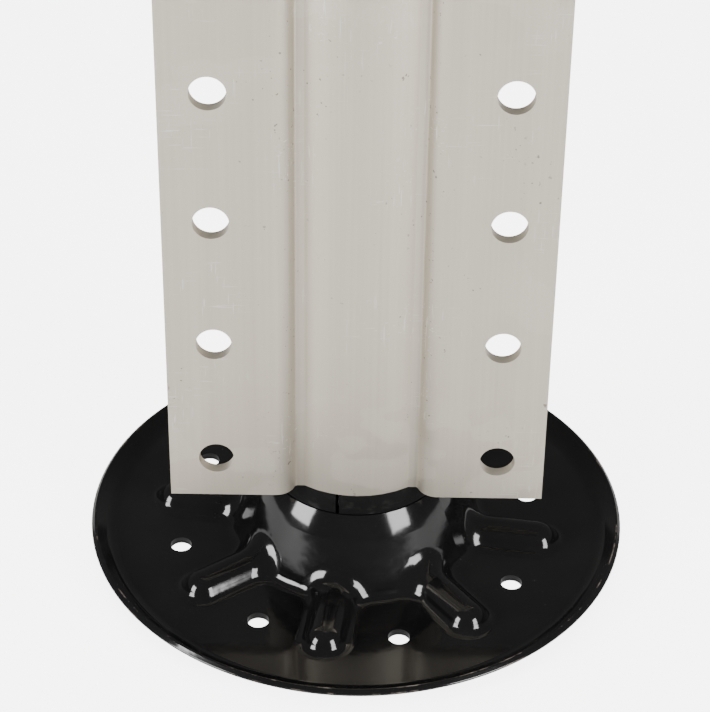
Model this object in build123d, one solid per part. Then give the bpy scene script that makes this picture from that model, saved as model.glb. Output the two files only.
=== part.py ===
from build123d import *
import os
from math import asin, cos, degrees, radians, sin, sqrt, tan

# Portable signpost: a finned aluminium tube post that stands on a pressed steel foot
# and carries a small flat sign.  Millimetres, +Z up.  The origin is the centre of the
# foot on the ground, the tube's axis is Z, and the sign faces -Y.

INCH = 25.4

# ---- driving dimensions ------------------------------------------------------------

# Post extrusion: a round tube with one flat flange on each side.
tube_diameter = 2.0 * INCH
tube_wall = 3.2
post_width = 4.0 * INCH
flange_thickness = 3.2
groove_depth = 4.35          # groove between the tube's crown and each flange
groove_floor = 2.6           # flat width of the groove's floor
flange_edge_round = 5.5      # round from the flange's front face down into the groove
groove_fillet = 0.9
back_fillet = 3.0            # between the flange's back face and the tube
hole_rows = 24
hole_pitch = 1.5 * INCH
first_hole_height = 0.5 * INCH
hole_edge_distance = 0.5 * INCH   # from the flange's outer edge to the hole's centre
bolt_clearance = INCH / 32        # radial, in the flange holes

# Pressed foot: a flat deck with an upturned lip, a hollow dome and hollow ribs.
foot_diameter = 6.0 * INCH
foot_sheet = 2.0
lip_height = 4.8             # lower corner of the rim above the ground
lip_angle = 45.0
lip_round = 4.0
rim_edge_round = 0.5         # on both corners of the rim's cut edge
dome_rise = 22.4             # the flat seat above the deck
dome_shoulder_round = 30.0
dome_shoulder_slope = 36.0   # slope of the shoulder where it leaves the seat, from upright
dome_draft = 22.0            # slope of the dome's side, from upright
seat_margin = 0.1            # the seat is this much wider than the spacer ring
rib_count = 8
rib_round = 5.5              # the rib's half-round section
rib_nose_margin = 18.2       # from the rib's nose to the foot's edge
rib_turn = -8.8              # angle of the first rib from +X
press_fillet = 3.5           # ribs and dome blend into the deck
rib_root_fillet = 8.0        # ribs blend into the dome
underside_fillet = 2.0       # the first blend in the hollow underneath
underside_root_fillet = 5.0  # the second
floor_hole_diameter = 6.0
floor_hole_margin = 24.95    # from the holes' centres to the foot's edge
floor_hole_turn = 13.8       # angle of the first hole from +X

# Spigot that the post slips over, its weld, and the split spacer ring on the dome.
spigot_clearance = 0.5       # radial gap between the spigot and the post's bore
spigot_wall = 3.0
spigot_engagement = 150.0    # length of spigot inside the post
spigot_tail = 5.0            # below the dome's inner face
seat_clearance = 0.1         # between the spigot and the hole that it is welded into
weld_leg = 2.5
ring_height = 7.1
ring_clearance = 0.4         # radial gap between the ring and the spigot
ring_setback = 0.2           # the ring's outside is this much inside the tube's
ring_split = 1.0
ring_split_angle = -102.0
ring_chamfer = 0.4

# Clamp screws at the back of the post, each in a boss on the tube.
clamp_heights = (1.5 * INCH, 4.5 * INCH)   # above the post's lower end
boss_radius = 9.0
boss_height = 7.0            # beyond the tube's outside
boss_chamfer = 0.8
screw_radius = 0.3125 * INCH / 2
thread_clearance = 0.05
screw_tip_gap = 0.3          # at rest the tip stands just off the spigot
screw_standoff = 6.0         # head above the boss
hex_across_flats = 0.5 * INCH
hex_head_height = 5.2
hex_nut_height = 6.7
hex_chamfer = 0.7

# Post cap: a plate on the tube's end with a hollow plug in the bore.
cap_plate = 3.0
cap_round = 1.6
cap_plug_length = 18.0
cap_plug_wall = 2.0
cap_clearance = 0.15

# Sign and its fasteners.
sign_width = 12.0 * INCH
sign_height = 18.0 * INCH
sign_thickness = 2.0
sign_corner = 1.5 * INCH
sheeting_thickness = 0.3
sheeting_margin = 0.5        # bare metal left around the reflective sheeting
sign_rows_above = 2          # free rows of flange holes above the sign's upper bolts
sign_row_span = 7            # from the lower bolts' row to the upper bolts' row
face_washer_radius = 9.5
face_washer_thickness = 1.2
back_washer_radius = 8.7
back_washer_thickness = 1.6
washer_clearance = 0.3
bolt_end_length = 3.0        # thread showing behind the nut

# ---- sizes that follow ---------------------------------------------------------------

tube_radius = tube_diameter / 2
bore_radius = tube_radius - tube_wall
front_face = -tube_radius                      # the flanges' front plane
flange_back = front_face + flange_thickness
groove_y = front_face + groove_depth
flange_hole_radius = screw_radius + bolt_clearance
column_x = post_width / 2 - hole_edge_distance
post_length = hole_pitch * (hole_rows - 1) + 2 * first_hole_height

rib_reach = foot_diameter / 2 - rib_nose_margin
floor_hole_circle = foot_diameter - 2 * floor_hole_margin
deck_top = foot_sheet
seat_height = deck_top + dome_rise
post_bottom = seat_height + ring_height
post_top = post_bottom + post_length

spigot_radius = bore_radius - spigot_clearance
spigot_bottom = seat_height - foot_sheet - spigot_tail
spigot_top = post_bottom + spigot_engagement
ring_outer_radius = tube_radius - ring_setback
ring_inner_radius = spigot_radius + ring_clearance
seat_radius = ring_outer_radius + seat_margin

screw_hole_radius = screw_radius + thread_clearance
sign_front = front_face - sign_thickness
sheeting_front = sign_front - sheeting_thickness
bolt_seat = sheeting_front - face_washer_thickness
nut_seat = flange_back + back_washer_thickness

sign_upper_row = hole_rows - 1 - sign_rows_above      # rows count from 0 at the bottom
sign_lower_row = sign_upper_row - sign_row_span

STANDING = (Align.CENTER, Align.CENTER, Align.MIN)


def row_height(row):
    """Height of a row of flange holes; row 0 is the lowest."""
    return post_bottom + first_hole_height + hole_pitch * row


sign_middle = (row_height(sign_upper_row) + row_height(sign_lower_row)) / 2
sign_bolt_places = [
    (side * column_x, row_height(row))
    for row in (sign_upper_row, sign_lower_row)
    for side in (-1, 1)
]


# ---- small shared shapes -------------------------------------------------------------

def upright(radius, bottom, height):
    """Cylinder on the Z axis, standing on a height."""
    return Pos(0, 0, bottom) * Cylinder(radius, height, align=STANDING)


def rod_along_y(radius, y_start, y_end, x, z):
    """Cylinder whose axis runs along Y."""
    return Pos(x, y_start, z) * Rot(-90, 0, 0) * Cylinder(radius, y_end - y_start, align=STANDING)


def rectangle_between(x_low, y_low, x_high, y_high):
    """Flat rectangle in the XY plane from its low corner to its high corner."""
    sheet = Rectangle(x_high - x_low, y_high - y_low, align=(Align.MIN, Align.MIN))
    return Pos(x_low, y_low) * sheet


def hexagon_along_y(y_start, y_end, x, z, outer_end):
    """Hexagonal prism along Y whose corners are turned off at its outer end (-1 or +1)."""
    height = y_end - y_start
    turned = Cylinder(hex_across_flats / sqrt(3), height, align=STANDING)
    outer_face = turned.faces().sort_by(Axis.Z)[-1 if outer_end > 0 else 0]
    turned = chamfer(outer_face.edges(), hex_chamfer)
    prism = extrude(RegularPolygon(hex_across_flats / 2, 6, major_radius=False), height)
    return Pos(x, y_start, z) * Rot(-90, 0, 0) * (prism & turned)


# ---- post ----------------------------------------------------------------------------

def flange_section():
    """The flange at +X, with its round into the groove and its fillet to the tube."""
    groove_x = sqrt(tube_radius**2 - groove_y**2)
    round_run = sqrt(flange_edge_round**2 - (flange_edge_round - groove_depth) ** 2)
    round_x = groove_x + groove_floor + round_run
    round_y = front_face + flange_edge_round
    fillet_y = flange_back + back_fillet
    fillet_x = sqrt((tube_radius + back_fillet) ** 2 - fillet_y**2)
    touch_y = fillet_y * tube_radius / (tube_radius + back_fillet)

    plate = rectangle_between(round_x, front_face, post_width / 2, flange_back)
    edge = rectangle_between(groove_x, front_face, round_x, round_y)
    edge &= Pos(round_x, round_y) * Circle(flange_edge_round)
    web = rectangle_between(groove_x, groove_y, fillet_x, touch_y)
    behind = Pos(fillet_x, fillet_y) * Circle(back_fillet)
    behind += rectangle_between(fillet_x, flange_back, post_width, fillet_y + back_fillet)
    return plate + edge + web - behind


def post_section():
    """Cross-section of the extrusion: tube, two flanges and the two front grooves."""
    flange = flange_section()
    outline = Circle(tube_radius) + flange + mirror(flange, about=Plane.YZ)
    corners = [corner for corner in outline.vertices() if abs(corner.Y - groove_y) < 1e-4]
    return fillet(corners, groove_fillet) - Circle(bore_radius)


def make_post_extrusion():
    post = Pos(0, 0, post_bottom) * extrude(post_section(), post_length)
    flange_holes = [
        rod_along_y(flange_hole_radius, front_face - 1, flange_back + 1, side * column_x, row_height(row))
        for row in range(hole_rows)
        for side in (-1, 1)
    ]
    screw_holes = [
        rod_along_y(screw_hole_radius, 0, tube_diameter, 0, post_bottom + height)
        for height in clamp_heights
    ]
    return post - flange_holes - screw_holes


def make_post_cap():
    plate = upright(tube_radius, post_top, cap_plate)
    plate = fillet(plate.faces().sort_by(Axis.Z)[-1].edges(), cap_round)
    plug_radius = bore_radius - cap_clearance
    plug_bottom = post_top - cap_plug_length
    plug = upright(plug_radius, plug_bottom, cap_plug_length)
    hollow = upright(plug_radius - cap_plug_wall, plug_bottom, cap_plug_length)
    return plate + (plug - hollow)


def make_clamp_boss(height):
    """Round boss whose root follows the tube's curve, with the screw's hole through it."""
    end_y = tube_radius + boss_height
    boss = rod_along_y(boss_radius, 0, end_y, 0, height)
    boss = chamfer(boss.faces().sort_by(Axis.Y)[-1].edges(), boss_chamfer)
    tube_space = upright(tube_radius, height - tube_radius, tube_diameter)
    return boss - tube_space - rod_along_y(screw_hole_radius, 0, end_y + 1, 0, height)


def make_clamp_screw(height):
    head_y = tube_radius + boss_height + screw_standoff
    shank = rod_along_y(screw_radius, spigot_radius + screw_tip_gap, head_y, 0, height)
    return shank + hexagon_along_y(head_y, head_y + hex_head_height, 0, height, 1)


# ---- foot ----------------------------------------------------------------------------

def deck_with_lip():
    """Flat sheet disc whose rim is turned up at an angle."""
    slope = radians(lip_angle)
    under_round = lip_round + foot_sheet
    straight = (lip_height - under_round * (1 - cos(slope))) / sin(slope)
    rim_x = foot_diameter / 2
    bend_x = rim_x - straight * cos(slope) - under_round * sin(slope)
    bend_centre = (bend_x, under_round)
    under_bend = CenterArc(bend_centre, under_round, -90, lip_angle)
    top_bend = CenterArc(bend_centre, lip_round, -90, lip_angle)
    rim_bottom = (rim_x, lip_height)
    rim_top = (rim_x - foot_sheet * sin(slope), lip_height + foot_sheet * cos(slope))
    outline = Curve() + [
        under_bend,
        top_bend,
        Polyline(under_bend @ 1, rim_bottom, rim_top, top_bend @ 1),
        Polyline(under_bend @ 0, (0, 0), (0, foot_sheet), top_bend @ 0),
    ]
    face = make_face(outline)
    cut_corners = [corner for corner in face.vertices() if corner.X > rim_top[0] - 1e-4]
    return revolve(Plane.XZ * fillet(cut_corners, rim_edge_round), Axis.Z)


def dome_solid(inset):
    """The dome as a solid, with its whole surface moved inwards by an inset."""
    slope = radians(dome_shoulder_slope)
    draft = radians(dome_draft)
    level = deck_top - inset
    base = level - foot_sheet
    seat = seat_height - inset
    centre_x = seat_radius - dome_shoulder_round * cos(slope)
    centre_z = seat_height - dome_shoulder_round * sin(slope)
    radius = dome_shoulder_round - inset
    top_turn = degrees(asin((seat - centre_z) / radius))
    shoulder = CenterArc((centre_x, centre_z), radius, dome_draft, top_turn - dome_draft)
    side_top = shoulder @ 0
    foot_x = side_top.X + (side_top.Y - base) * tan(draft)
    outline = Curve() + [
        shoulder,
        Polyline(side_top, (foot_x, base), (0, base), (0, seat), shoulder @ 1),
    ]
    return revolve(Plane.XZ * make_face(outline), Axis.Z)


def dome_foot_radius():
    """Radius at which the dome's side would meet the deck if there were no blend."""
    slope = radians(dome_shoulder_slope)
    draft = radians(dome_draft)
    side_x = seat_radius + dome_shoulder_round * (cos(draft) - cos(slope))
    side_height = dome_rise - dome_shoulder_round * (sin(slope) - sin(draft))
    return side_x + side_height * tan(draft)


def pressing(inset, foot_blend, root_blend):
    """Dome and ribs standing on a plate, blended together, moved inwards by an inset.

    An inset of 0 gives the outside of the pressed shape, and an inset of the sheet's
    thickness gives the hollow under it, so the wall stays even.
    """
    level = deck_top - inset
    plate = upright(rib_reach + 2 * press_fillet, level - foot_sheet, foot_sheet)
    rib_spacing = 360 / rib_count
    radius = rib_round - inset
    nose_x = rib_reach - rib_round
    ribs = []
    for index in range(rib_count):
        bar = Pos(0, 0, level) * Rot(0, 90, 0) * Cylinder(radius, nose_x, align=STANDING)
        nose = Pos(nose_x, 0, level) * Sphere(radius)
        ribs.append(Rot(0, 0, (index + 0.5) * rib_spacing) * (bar + nose))
    solid = plate + dome_solid(inset) + ribs
    free_rib = nose_x - dome_foot_radius()
    root_blend = min(root_blend, free_rib / 2)    # short ribs leave the blends less room
    foot_blend = min(foot_blend, free_rib / 2)
    solid = fillet(solid.edges().filter_by(GeomType.BSPLINE), root_blend)
    feet = [
        edge for edge in solid.edges().filter_by_position(Axis.Z, level - 1e-3, level + 1e-3)
        if edge.length < rib_reach
    ]
    return Rot(0, 0, rib_turn - rib_spacing / 2) * fillet(feet, foot_blend)


def make_foot_plate():
    outside = pressing(0, press_fillet, rib_root_fillet)
    hollow = pressing(foot_sheet, underside_fillet, underside_root_fillet)
    above_ground = upright(foot_diameter, 0, 2 * seat_height)
    plate = (deck_with_lip() + outside - hollow) & above_ground
    plate -= upright(spigot_radius + seat_clearance, 0, seat_height + 1)
    for index in range(rib_count):
        turn = radians(floor_hole_turn + index * 360 / rib_count)
        reach = floor_hole_circle / 2
        plate -= Pos(reach * cos(turn), reach * sin(turn), 0) * Cylinder(
            floor_hole_diameter / 2, 4 * foot_sheet
        )
    return plate


def make_spigot():
    length = spigot_top - spigot_bottom
    tube = upright(spigot_radius, spigot_bottom, length)
    return tube - upright(spigot_radius - spigot_wall, spigot_bottom, length)


def make_weld_bead():
    """Fillet weld around the spigot, under the dome's roof."""
    roof = seat_height - foot_sheet
    corner = (spigot_radius, roof)
    outline = Polyline(corner, (spigot_radius + weld_leg, roof), (spigot_radius, roof - weld_leg), close=True)
    return revolve(Plane.XZ * make_face(outline), Axis.Z)


def make_spacer_ring():
    ring = upright(ring_outer_radius, seat_height, ring_height)
    ring = chamfer(ring.edges().filter_by(GeomType.CIRCLE), ring_chamfer)
    ring -= upright(ring_inner_radius, seat_height, ring_height)
    gap = Box(tube_radius, ring_split, ring_height, align=(Align.MIN, Align.CENTER, Align.MIN))
    return ring - Rot(0, 0, ring_split_angle) * Pos(0, 0, seat_height) * gap


# ---- sign ----------------------------------------------------------------------------

def sign_sheet(y_start, y_end, margin):
    """Round-cornered sheet the shape of the sign, with the bolt holes through it."""
    outline = RectangleRounded(sign_width - 2 * margin, sign_height - 2 * margin, sign_corner - margin)
    sheet = Pos(0, y_end, sign_middle) * Rot(90, 0, 0) * extrude(outline, y_end - y_start)
    return sheet - [
        rod_along_y(flange_hole_radius, y_start - 1, y_end + 1, x, z) for x, z in sign_bolt_places
    ]


def make_sign_panel():
    return sign_sheet(sign_front, front_face, 0)


def make_sign_sheeting():
    return sign_sheet(sheeting_front, sign_front, sheeting_margin)


def washer_along_y(radius, y_start, y_end, x, z):
    hole = rod_along_y(screw_radius + washer_clearance, y_start, y_end, x, z)
    return rod_along_y(radius, y_start, y_end, x, z) - hole


def make_face_washer(x, z):
    return washer_along_y(face_washer_radius, bolt_seat, sheeting_front, x, z)


def make_back_washer(x, z):
    return washer_along_y(back_washer_radius, flange_back, nut_seat, x, z)


def make_sign_bolt(x, z):
    head = hexagon_along_y(bolt_seat - hex_head_height, bolt_seat, x, z, -1)
    return head + rod_along_y(screw_radius, bolt_seat, nut_seat + hex_nut_height + bolt_end_length, x, z)


def make_sign_nut(x, z):
    nut = hexagon_along_y(nut_seat, nut_seat + hex_nut_height, x, z, 1)
    return nut - rod_along_y(screw_hole_radius, nut_seat, nut_seat + hex_nut_height, x, z)


# ---- all sub-parts -------------------------------------------------------------------

def all_parts():
    parts = {
        "foot_plate": make_foot_plate(),
        "spigot_tube": make_spigot(),
        "spigot_weld": make_weld_bead(),
        "spacer_ring": make_spacer_ring(),
        "post_extrusion": make_post_extrusion(),
        "post_cap": make_post_cap(),
        "sign_panel": make_sign_panel(),
        "sign_sheeting": make_sign_sheeting(),
    }
    for number, height in enumerate(clamp_heights, start=1):
        parts[f"clamp_boss_{number}"] = make_clamp_boss(post_bottom + height)
        parts[f"clamp_screw_{number}"] = make_clamp_screw(post_bottom + height)
    for number, (x, z) in enumerate(sign_bolt_places, start=1):
        parts[f"sign_bolt_{number}"] = make_sign_bolt(x, z)
        parts[f"face_washer_{number}"] = make_face_washer(x, z)
        parts[f"back_washer_{number}"] = make_back_washer(x, z)
        parts[f"sign_nut_{number}"] = make_sign_nut(x, z)
    return parts


if __name__ == "__main__":
    os.makedirs("parts", exist_ok=True)
    for name, solid in all_parts().items():
        solid.label = name
        export_step(solid, f"parts/{name}.step")
        print(f"{name}: {solid.volume / 1000:.2f} cm3")
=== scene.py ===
import math

import bpy
from mathutils import Matrix, Vector


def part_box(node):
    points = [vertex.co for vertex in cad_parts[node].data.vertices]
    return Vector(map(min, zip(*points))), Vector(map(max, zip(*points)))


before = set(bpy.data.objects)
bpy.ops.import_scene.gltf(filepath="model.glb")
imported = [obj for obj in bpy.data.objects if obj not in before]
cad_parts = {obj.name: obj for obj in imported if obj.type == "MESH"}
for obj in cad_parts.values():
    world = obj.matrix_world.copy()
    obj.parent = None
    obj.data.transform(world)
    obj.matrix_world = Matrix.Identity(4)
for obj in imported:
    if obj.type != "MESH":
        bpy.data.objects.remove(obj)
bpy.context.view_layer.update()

MM = 0.001

# ---- camera --------------------------------------------------------------------------

CAMERA_PLACE = Vector((0.26, -578.21, 485.62)) * MM
CAMERA_AIM = Vector((-0.87, -25.4, 79.22)) * MM
CAMERA_ROLL = math.radians(0.754)
CAMERA_LENS = 131.95


def make_camera():
    data = bpy.data.cameras.new("camera")
    data.lens = CAMERA_LENS
    data.sensor_width = 36
    data.sensor_fit = "HORIZONTAL"
    data.clip_start = 0.01
    data.clip_end = 100
    camera = bpy.data.objects.new("camera", data)
    forward = (CAMERA_AIM - CAMERA_PLACE).normalized()
    level_right = forward.cross(Vector((0, 0, 1))).normalized()
    level_up = level_right.cross(forward)
    right = level_right * math.cos(CAMERA_ROLL) + level_up * math.sin(CAMERA_ROLL)
    up = level_up * math.cos(CAMERA_ROLL) - level_right * math.sin(CAMERA_ROLL)
    turn = Matrix((right, up, -forward)).transposed()
    camera.matrix_world = Matrix.Translation(CAMERA_PLACE) @ turn.to_4x4()
    bpy.context.scene.collection.objects.link(camera)
    bpy.context.scene.camera = camera


# ---- lights --------------------------------------------------------------------------

ROOM_LIGHT = 0.17       # what the object sees beyond the lights
BACKDROP_GLOW = 6.0     # the same backdrop as the camera sees it, close to white
BACKDROP_COLOUR = (1.0, 0.99, 0.97, 1)
LIGHT_AIM = Vector((0, 0, 0.08))


def softbox(name, azimuth, elevation, distance, width, height, power):
    """Area light aimed at LIGHT_AIM and seen from there at an azimuth and elevation."""
    data = bpy.data.lights.new(name, "AREA")
    data.shape = "RECTANGLE"
    data.size = width
    data.size_y = height
    data.energy = power
    light = bpy.data.objects.new(name, data)
    a = math.radians(azimuth)
    e = math.radians(elevation)
    away = Vector((math.cos(a) * math.cos(e), math.sin(a) * math.cos(e), math.sin(e)))
    light.location = LIGHT_AIM + away * distance
    light.rotation_mode = "QUATERNION"
    light.rotation_quaternion = away.to_track_quat("Z", "Y")
    bpy.context.scene.collection.objects.link(light)
    return light


def make_lights():
    softbox("softbox_left", azimuth=-151, elevation=17, distance=1.25,
            width=0.50, height=0.56, power=19)
    softbox("softbox_right", azimuth=-42, elevation=17, distance=1.25,
            width=0.46, height=0.56, power=16)
    fills = [
        softbox("fill_front", azimuth=-90, elevation=62, distance=1.90,
                width=1.60, height=0.80, power=10),
        softbox("fill_above", azimuth=90, elevation=80, distance=1.80,
                width=1.60, height=1.20, power=24),
    ]
    for fill in fills:
        fill.visible_glossy = False     # they light the object but don't show in its gloss
    world = bpy.data.worlds.new("studio")
    world.use_nodes = True
    tree = world.node_tree
    background = tree.nodes["Background"]
    background.inputs["Color"].default_value = BACKDROP_COLOUR
    seen = tree.nodes.new("ShaderNodeLightPath").outputs["Is Camera Ray"]
    strength = tree.nodes.new("ShaderNodeMapRange")
    strength.inputs["To Min"].default_value = ROOM_LIGHT
    strength.inputs["To Max"].default_value = BACKDROP_GLOW
    tree.links.new(seen, strength.inputs["Value"])
    tree.links.new(strength.outputs["Result"], background.inputs["Strength"])
    bpy.context.scene.world = world


# ---- node helpers --------------------------------------------------------------------

class Shader:
    """A material's node tree, built up with short calls."""

    def __init__(self, name):
        self.material = bpy.data.materials.new(name)
        self.material.use_nodes = True
        self.tree = self.material.node_tree
        self.surface = self.tree.nodes["Principled BSDF"]
        self.place = self.tree.nodes.new("ShaderNodeTexCoord").outputs["Object"]

    def node(self, kind, **settings):
        made = self.tree.nodes.new(kind)
        for key, value in settings.items():
            setattr(made, key, value)
        return made

    def join(self, source, target):
        """Feeds a socket from another socket or a constant."""
        if isinstance(source, bpy.types.NodeSocket):
            self.tree.links.new(source, target)
        else:
            target.default_value = source

    def scaled(self, scale, turn=(0, 0, 0)):
        mapping = self.node("ShaderNodeMapping")
        mapping.inputs["Scale"].default_value = scale
        mapping.inputs["Rotation"].default_value = [math.radians(a) for a in turn]
        self.join(self.place, mapping.inputs["Vector"])
        return mapping.outputs["Vector"]

    def noise(self, scale, detail=2.0, roughness=0.5, vector=None):
        made = self.node("ShaderNodeTexNoise")
        made.inputs["Scale"].default_value = scale
        made.inputs["Detail"].default_value = detail
        made.inputs["Roughness"].default_value = roughness
        self.join(vector or self.place, made.inputs["Vector"])
        return made.outputs["Fac"]

    def cell_edges(self, scale):
        """Distance to the nearest edge between scattered cells."""
        made = self.node("ShaderNodeTexVoronoi", feature="DISTANCE_TO_EDGE")
        made.inputs["Scale"].default_value = scale
        self.join(self.place, made.inputs["Vector"])
        return made.outputs["Distance"]

    def remap(self, value, low, high, to_low=0.0, to_high=1.0):
        """Clamped ramp. It falls instead of rising where low is above high."""
        made = self.node("ShaderNodeMapRange")
        made.clamp = True
        for socket, source in zip(made.inputs, (value, low, high, to_low, to_high)):
            self.join(source, socket)
        return made.outputs["Result"]

    def math(self, operation, first, second=0.0):
        made = self.node("ShaderNodeMath", operation=operation)
        self.join(first, made.inputs[0])
        self.join(second, made.inputs[1])
        return made.outputs[0]

    def mix(self, factor, first, second):
        made = self.node("ShaderNodeMix", data_type="RGBA")
        self.join(factor, made.inputs["Factor"])
        self.join(first, made.inputs[6])
        self.join(second, made.inputs[7])
        return made.outputs[2]

    def axes(self):
        made = self.node("ShaderNodeSeparateXYZ")
        self.join(self.place, made.inputs[0])
        return made.outputs

    def bump(self, height, distance, strength=1.0, under=None):
        made = self.node("ShaderNodeBump")
        made.inputs["Strength"].default_value = strength
        made.inputs["Distance"].default_value = distance
        self.join(height, made.inputs["Height"])
        if under is not None:
            self.join(under, made.inputs["Normal"])
        return made.outputs["Normal"]

    def finish(self, **sockets):
        for key, source in sockets.items():
            self.join(source, self.surface.inputs[key.replace("_", " ")])
        return self.material


def rgb(red, green, blue):
    return (red, green, blue, 1.0)


# ---- where the marks lie on the object, in metres -------------------------------------
# A pair is where a mask starts and where it is full.

GROOVE_INNER = (0.0155, 0.0165)     # distance from the middle of the post, along X
GROOVE_OUTER = (0.0205, 0.0195)
# where the painted shade in the grooves lies, across X and then in Y
GROOVE_SHADE_INNER = (0.0155, 0.0172)
GROOVE_SHADE_OUTER = (0.0212, 0.0180)
GROOVE_SHADE_FRONT = (-0.0190, -0.0195)    # Y, so that the painted groove shade stays off the post's back
STAIN_ABOVE_END = (0.036, 0.026)    # height above the post's lower end

# the rim's two corners, where wear and a painted highlight line lie
RIM_OUTER_CORNER = (0.07575, 0.07590)       # radius
RIM_UPPER_CORNER = 0.0748                   # radius
RIM_UPPER_SPREAD = (0.00022, 0.00012)       # to each side of that radius
RIM_UPPER_HEIGHT = (0.0055, 0.0058)         # Z, so that the deck stays out of it

BORDER_OUTSIDE = (0.009, 0.029)     # inset from the sign's edge, then corner radius
BORDER_INSIDE = (0.017, 0.021)
SHAFT_HALF_WIDTH = 0.012
SHAFT_TAIL = 0.070                  # from the sign's middle, like the rest of the arrow
SHAFT_END = 0.045                   # inside the head
HEAD_START = 0.040
HEAD_TIP = 0.095
HEAD_SLOPE = 0.85                   # half width gained for each metre back from the tip

# ---- materials -----------------------------------------------------------------------

def mill_aluminium():
    """Extruded aluminium as it leaves the die: lines along Z, specks, rubs and stains, with painted
    shade in the grooves.
    """
    s = Shader("mill_aluminium")
    x, y, z = s.axes()
    lines = s.noise(1.0, 3.0, 0.6, s.scaled((900, 900, 6)))
    fine = s.noise(1.0, 2.0, 0.5, s.scaled((3600, 3600, 25)))
    bands = s.noise(1.0, 1.0, 0.5, s.scaled((120, 120, 1.5)))
    cloud = s.noise(28.0, 4.0, 0.6)

    across = s.math("ABSOLUTE", x)
    in_groove = s.math(
        "MULTIPLY", s.remap(across, *GROOVE_INNER), s.remap(across, *GROOVE_OUTER))
    # Painted shade: the front of each groove is darkened along its length, as shade would fall
    # there.
    groove_shade = s.math("MULTIPLY", s.remap(across, *GROOVE_SHADE_OUTER), s.remap(across, *GROOVE_SHADE_INNER))
    groove_shade = s.math("MULTIPLY", groove_shade, s.remap(y, *GROOVE_SHADE_FRONT))
    groove_shade = s.math("MULTIPLY", groove_shade, s.remap(lines, 0.3, 0.7, 0.75, 1.0))
    speck = s.remap(s.noise(850.0, 1.0), 0.715, 0.745)
    sparse = s.math("MAXIMUM", s.remap(s.noise(60.0), 0.55, 0.64), in_groove)
    speck = s.math("MULTIPLY", speck, sparse)

    rub_a = s.remap(s.noise(1.0, 1.0, 0.5, s.scaled((1500, 1500, 110), (0, 35, 0))), 0.66, 0.72)
    rub_b = s.remap(s.noise(1.0, 1.0, 0.5, s.scaled((110, 1900, 1900), (0, 6, 0))), 0.66, 0.72)
    rubs = s.math("MAXIMUM", rub_a, rub_b)
    rubs = s.math("MULTIPLY", rubs, s.remap(s.noise(38.0, 2.0), 0.52, 0.62))

    puddle = s.remap(s.noise(1.0, 2.0, 0.45, s.scaled((55, 55, 85))), 0.520, 0.532)
    lower_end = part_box("post_extrusion")[0].z
    near_foot = s.remap(z, *(lower_end + above for above in STAIN_ABOVE_END))
    handled = s.math("MAXIMUM", s.remap(s.noise(11.0, 1.0), 0.50, 0.56), near_foot)
    stain = s.math("MULTIPLY", puddle, handled)

    shade = s.math("ADD", s.math("MULTIPLY", lines, 0.45), s.math("MULTIPLY", bands, 0.55))
    colour = s.mix(s.remap(shade, 0.3, 0.7), rgb(0.585, 0.530, 0.440), rgb(0.645, 0.588, 0.496))
    colour = s.mix(s.remap(cloud, 0.35, 0.75, 0.0, 0.30), colour, rgb(0.575, 0.525, 0.440))
    colour = s.mix(s.math("MULTIPLY", stain, 0.30), colour, rgb(0.710, 0.665, 0.580))
    # painted shade in the grooves
    colour = s.mix(s.math("MULTIPLY", groove_shade, 0.55), colour, rgb(0.300, 0.270, 0.225))
    colour = s.mix(s.math("MULTIPLY", speck, 0.75), colour, rgb(0.16, 0.13, 0.10))
    colour = s.mix(s.math("MULTIPLY", rubs, 0.50), colour, rgb(0.82, 0.81, 0.79))
    rough = s.math("ADD", s.remap(shade, 0.3, 0.7, 0.46, 0.38), s.remap(cloud, 0.3, 0.7, 0.0, 0.06))
    rough = s.math("ADD", rough, s.math("MULTIPLY", stain, 0.06))
    rough = s.math("SUBTRACT", rough, s.math("MULTIPLY", rubs, 0.06))
    normal = s.bump(lines, 0.00006, 0.5)
    normal = s.bump(fine, 0.00002, 0.5, normal)
    return s.finish(Base_Color=colour, Metallic=0.80, Roughness=rough, Normal=normal)


def black_enamel():
    """Glossy baked enamel on pressed steel, thin and rubbed through on the cut edge; the light
    broken lines on the rim's corners are also a painted highlight.
    """
    s = Shader("black_enamel")
    x, y, z = s.axes()
    radius = s.math("SQRT", s.math("ADD", s.math("MULTIPLY", x, x), s.math("MULTIPLY", y, y)))
    # Light broken lines on the rim's corners: rubbed-through paint, and also a painted highlight
    # along the edges.
    outer_corner = s.remap(radius, *RIM_OUTER_CORNER)
    off_corner = s.math("ABSOLUTE", s.math("SUBTRACT", radius, RIM_UPPER_CORNER))
    upper_corner = s.remap(off_corner, *RIM_UPPER_SPREAD)
    upper_corner = s.math("MULTIPLY", upper_corner, s.remap(z, *RIM_UPPER_HEIGHT))
    edge = s.math("MAXIMUM", outer_corner, upper_corner)
    broken = s.remap(s.noise(130.0, 4.0, 0.65), 0.54, 0.66)
    wear_and_highlight = s.math("MULTIPLY", edge, broken)
    grains = s.remap(s.noise(1500.0, 1.0), 0.78, 0.81)
    dust = s.math("MULTIPLY", grains, s.remap(s.noise(50.0), 0.55, 0.65))
    cloud = s.noise(40.0, 3.0, 0.55)
    black = rgb(0.0035, 0.0035, 0.0040)
    colour = s.mix(s.remap(cloud, 0.3, 0.7), black, rgb(0.0060, 0.0058, 0.0058))
    colour = s.mix(s.math("MULTIPLY", dust, 0.25), colour, rgb(0.35, 0.34, 0.32))
    # wear and painted highlight on the rim's corners
    colour = s.mix(s.math("MULTIPLY", wear_and_highlight, 0.50), colour, rgb(0.26, 0.22, 0.19))
    rough = s.math("ADD", s.remap(cloud, 0.3, 0.7, 0.085, 0.125), s.math("MULTIPLY", dust, 0.25))
    rough = s.math("ADD", rough, s.math("MULTIPLY", wear_and_highlight, 0.25))
    normal = s.bump(s.noise(330.0, 1.0), 0.00006, 0.35)
    normal = s.bump(s.noise(70.0, 1.0), 0.00020, 0.20, normal)
    return s.finish(Base_Color=colour, Roughness=rough, Normal=normal)


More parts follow.
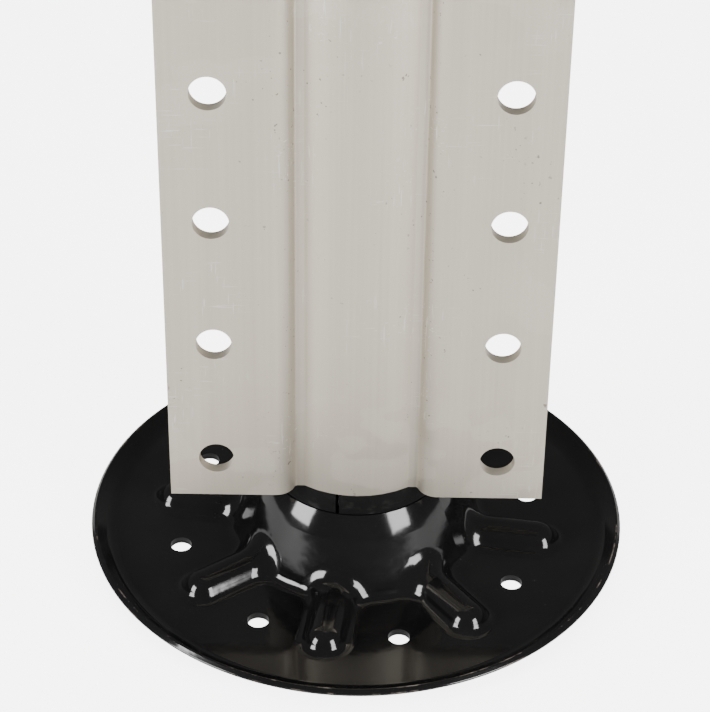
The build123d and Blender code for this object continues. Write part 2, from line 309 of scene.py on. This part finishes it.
def ring_plastic():
    """Dull black plastic strip, chalky where the post has turned on it."""
    s = Shader("ring_plastic")
    grain = s.noise(700.0, 4.0, 0.6)
    scuff = s.remap(s.noise(1.0, 3.0, 0.6, s.scaled((160, 160, 420))), 0.54, 0.72)
    colour = s.mix(scuff, rgb(0.0025, 0.0025, 0.0025), rgb(0.022, 0.021, 0.020))
    rough = s.remap(grain, 0.3, 0.7, 0.42, 0.60)
    normal = s.bump(grain, 0.00008, 0.4)
    return s.finish(Base_Color=colour, Roughness=rough, Normal=normal, Specular_IOR_Level=0.25)


def cap_plastic():
    """Moulded black polythene with a fine spark-eroded grain."""
    s = Shader("cap_plastic")
    grain = s.noise(1600.0, 2.0)
    cloud = s.noise(60.0, 3.0)
    rub = s.remap(s.noise(1.0, 2.0, 0.5, s.scaled((1400, 90, 900), (0, 0, 35))), 0.68, 0.80)
    colour = s.mix(s.remap(cloud, 0.3, 0.7), rgb(0.012, 0.012, 0.013), rgb(0.022, 0.022, 0.023))
    colour = s.mix(s.math("MULTIPLY", rub, 0.4), colour, rgb(0.10, 0.10, 0.10))
    rough = s.remap(cloud, 0.3, 0.7, 0.38, 0.50)
    normal = s.bump(grain, 0.00005, 0.6)
    return s.finish(Base_Color=colour, Roughness=rough, Normal=normal)


def sheet_aluminium():
    """Rolled sheet with a faint grain along X and light handling marks."""
    s = Shader("sheet_aluminium")
    grain = s.noise(1.0, 3.0, 0.6, s.scaled((25, 1500, 1500)))
    cloud = s.noise(14.0, 4.0, 0.6)
    rub = s.remap(s.noise(1.0, 2.0, 0.5, s.scaled((60, 1500, 1500), (0, 32, 0))), 0.69, 0.80)
    rub = s.math("MULTIPLY", rub, s.remap(s.noise(16.0, 2.0), 0.46, 0.66))
    colour = s.mix(s.remap(grain, 0.3, 0.7), rgb(0.56, 0.56, 0.555), rgb(0.66, 0.66, 0.655))
    colour = s.mix(s.remap(cloud, 0.4, 0.75, 0.0, 0.3), colour, rgb(0.48, 0.48, 0.47))
    colour = s.mix(s.math("MULTIPLY", rub, 0.5), colour, rgb(0.80, 0.80, 0.79))
    rough = s.math("ADD", s.remap(grain, 0.3, 0.7, 0.28, 0.38), s.remap(cloud, 0.3, 0.7, 0.0, 0.12))
    normal = s.bump(grain, 0.00003, 0.5)
    return s.finish(Base_Color=colour, Metallic=0.85, Roughness=rough, Normal=normal)


def nylon():
    """Natural nylon, milky and slightly yellow."""
    s = Shader("nylon")
    cloud = s.noise(220.0, 3.0, 0.6)
    colour = s.mix(s.remap(cloud, 0.3, 0.7), rgb(0.66, 0.63, 0.55), rgb(0.76, 0.74, 0.68))
    rough = s.remap(cloud, 0.3, 0.7, 0.35, 0.48)
    normal = s.bump(s.noise(1200.0, 2.0), 0.00004, 0.4)
    return s.finish(
        Base_Color=colour, Roughness=rough, Normal=normal,
        Subsurface_Weight=0.15, Subsurface_Scale=0.002,
    )


def galvanised_steel():
    """Hot-dip zinc: grey spangles of differing tone and gloss."""
    s = Shader("galvanised_steel")
    spangle = s.node("ShaderNodeTexVoronoi")
    spangle.inputs["Scale"].default_value = 150.0
    s.join(s.place, spangle.inputs["Vector"])
    tone = s.node("ShaderNodeSeparateColor")
    s.join(spangle.outputs["Color"], tone.inputs[0])
    run = s.noise(1.0, 3.0, 0.6, s.scaled((180, 180, 12)))
    colour = s.mix(tone.outputs[0], rgb(0.36, 0.37, 0.38), rgb(0.52, 0.53, 0.54))
    colour = s.mix(s.remap(run, 0.45, 0.75, 0.0, 0.4), colour, rgb(0.30, 0.30, 0.30))
    rough = s.remap(tone.outputs[1], 0.0, 1.0, 0.30, 0.48)
    normal = s.bump(spangle.outputs["Distance"], 0.00010, 0.15)
    normal = s.bump(run, 0.00008, 0.3, normal)
    return s.finish(Base_Color=colour, Metallic=0.9, Roughness=rough, Normal=normal)


def zinc_steel():
    """Bright zinc plate, slightly yellowed, with tool marks on the flats."""
    s = Shader("zinc_steel")
    cloud = s.noise(260.0, 3.0, 0.6)
    turned = s.noise(1.0, 2.0, 0.5, s.scaled((300, 5200, 300)))
    colour = s.mix(s.remap(cloud, 0.3, 0.7), rgb(0.50, 0.49, 0.46), rgb(0.64, 0.63, 0.61))
    colour = s.mix(s.remap(s.noise(90.0, 2.0), 0.5, 0.75, 0.0, 0.35), colour, rgb(0.48, 0.44, 0.35))
    rough = s.remap(cloud, 0.3, 0.7, 0.22, 0.36)
    normal = s.bump(turned, 0.00006, 0.4)
    return s.finish(Base_Color=colour, Metallic=0.95, Roughness=rough, Normal=normal)


def sign_film():
    """White reflective film printed with a plain green border and an arrow."""
    s = Shader("sign_film")
    low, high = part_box("sign_sheeting")
    middle = (low + high) / 2
    x, y, z = s.axes()
    across = s.math("ABSOLUTE", s.math("SUBTRACT", x, middle.x))
    above = s.math("SUBTRACT", z, middle.z)
    up = s.math("ABSOLUTE", above)

    def rounded(inset, corner):
        """1 inside a round-cornered rectangle set in from the sign's edge."""
        half_x = (high.x - low.x) / 2 - inset - corner
        half_z = (high.z - low.z) / 2 - inset - corner
        past_x = s.math("MAXIMUM", s.math("SUBTRACT", across, half_x), 0.0)
        past_z = s.math("MAXIMUM", s.math("SUBTRACT", up, half_z), 0.0)
        squared_x = s.math("MULTIPLY", past_x, past_x)
        reach = s.math("ADD", squared_x, s.math("MULTIPLY", past_z, past_z))
        return s.math("LESS_THAN", s.math("SQRT", reach), corner)

    band = s.math("SUBTRACT", rounded(*BORDER_OUTSIDE), rounded(*BORDER_INSIDE))
    side = s.math("SUBTRACT", x, middle.x)
    in_width = s.math("LESS_THAN", up, SHAFT_HALF_WIDTH)
    shaft = s.math("MULTIPLY", in_width, s.math("LESS_THAN", across, SHAFT_TAIL))
    from_tip = s.math("SUBTRACT", HEAD_TIP, side)
    in_point = s.math("LESS_THAN", up, s.math("MULTIPLY", from_tip, HEAD_SLOPE))
    head = s.math("MULTIPLY", in_point, s.math("GREATER_THAN", side, HEAD_START))
    shaft = s.math("MULTIPLY", shaft, s.math("LESS_THAN", side, SHAFT_END))
    print_mask = s.math("MAXIMUM", band, s.math("MAXIMUM", shaft, head))

    seal = s.remap(s.cell_edges(330.0), 0.0, 0.10, 1.0, 0.0)
    cloud = s.noise(9.0, 3.0, 0.6)
    white = s.mix(s.remap(cloud, 0.35, 0.7), rgb(0.74, 0.74, 0.73), rgb(0.80, 0.80, 0.79))
    green = s.mix(s.remap(cloud, 0.35, 0.7), rgb(0.003, 0.085, 0.035), rgb(0.005, 0.105, 0.045))
    colour = s.mix(print_mask, white, green)
    colour = s.mix(s.math("MULTIPLY", seal, 0.16), colour, rgb(0.35, 0.36, 0.37))
    rough = s.math("ADD", s.remap(cloud, 0.35, 0.7, 0.24, 0.33), s.math("MULTIPLY", seal, 0.12))
    normal = s.bump(seal, 0.00004, 0.4)
    return s.finish(Base_Color=colour, Roughness=rough, Normal=normal)


def weld_enamel():
    """The same enamel over a weld's ripples."""
    s = Shader("weld_enamel")
    ripple = s.noise(1.0, 2.0, 0.5, s.scaled((420, 420, 60)))
    colour = s.mix(s.remap(ripple, 0.3, 0.7), rgb(0.004, 0.004, 0.004), rgb(0.010, 0.010, 0.009))
    rough = s.remap(ripple, 0.3, 0.7, 0.12, 0.24)
    return s.finish(Base_Color=colour, Roughness=rough, Normal=s.bump(ripple, 0.0006, 0.5))


# ---- putting the materials on --------------------------------------------------------

def paint(nodes, material):
    for name in nodes:
        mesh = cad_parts[name].data
        if not mesh.materials:
            mesh.materials.append(material)
        for index in range(len(mesh.materials)):
            mesh.materials[index] = material


def numbered(stem, count):
    return [f"{stem}_{number}" for number in range(1, count + 1)]


def paint_all():
    paint(["post_extrusion"] + numbered("clamp_boss", 2), mill_aluminium())
    paint(["foot_plate"], black_enamel())
    paint(["spigot_weld"], weld_enamel())
    paint(["spacer_ring"], ring_plastic())
    paint(["post_cap"], cap_plastic())
    paint(["sign_panel"], sheet_aluminium())
    paint(["sign_sheeting"], sign_film())
    paint(numbered("face_washer", 4), nylon())
    paint(["spigot_tube"], galvanised_steel())
    plated = numbered("clamp_screw", 2) + numbered("sign_bolt", 4)
    paint(plated + numbered("back_washer", 4) + numbered("sign_nut", 4), zinc_steel())


# ---- floor ---------------------------------------------------------------------------

FLOOR_GLOW = 5.0    # lifts the floor to white for the camera without lighting the object
FLOOR_HALF = 6.0


def make_floor():
    mesh = bpy.data.meshes.new("floor")
    signs = ((-1, -1), (1, -1), (1, 1), (-1, 1))
    corners = [(x * FLOOR_HALF, y * FLOOR_HALF, 0) for x, y in signs]
    mesh.from_pydata(corners, [], [(0, 1, 2, 3)])
    floor = bpy.data.objects.new("floor", mesh)
    bpy.context.scene.collection.objects.link(floor)
    s = Shader("floor_white")
    cloud = s.noise(3.0, 2.0)
    colour = s.mix(s.remap(cloud, 0.3, 0.7), rgb(0.90, 0.90, 0.895), rgb(0.92, 0.92, 0.915))
    glow = s.math("MULTIPLY", s.node("ShaderNodeLightPath").outputs["Is Camera Ray"], FLOOR_GLOW)
    mesh.materials.append(s.finish(
        Base_Color=colour, Roughness=s.remap(cloud, 0.3, 0.7, 0.75, 0.85),
        Emission_Color=rgb(1, 1, 1), Emission_Strength=glow,
    ))


make_camera()
make_lights()
make_floor()
paint_all()
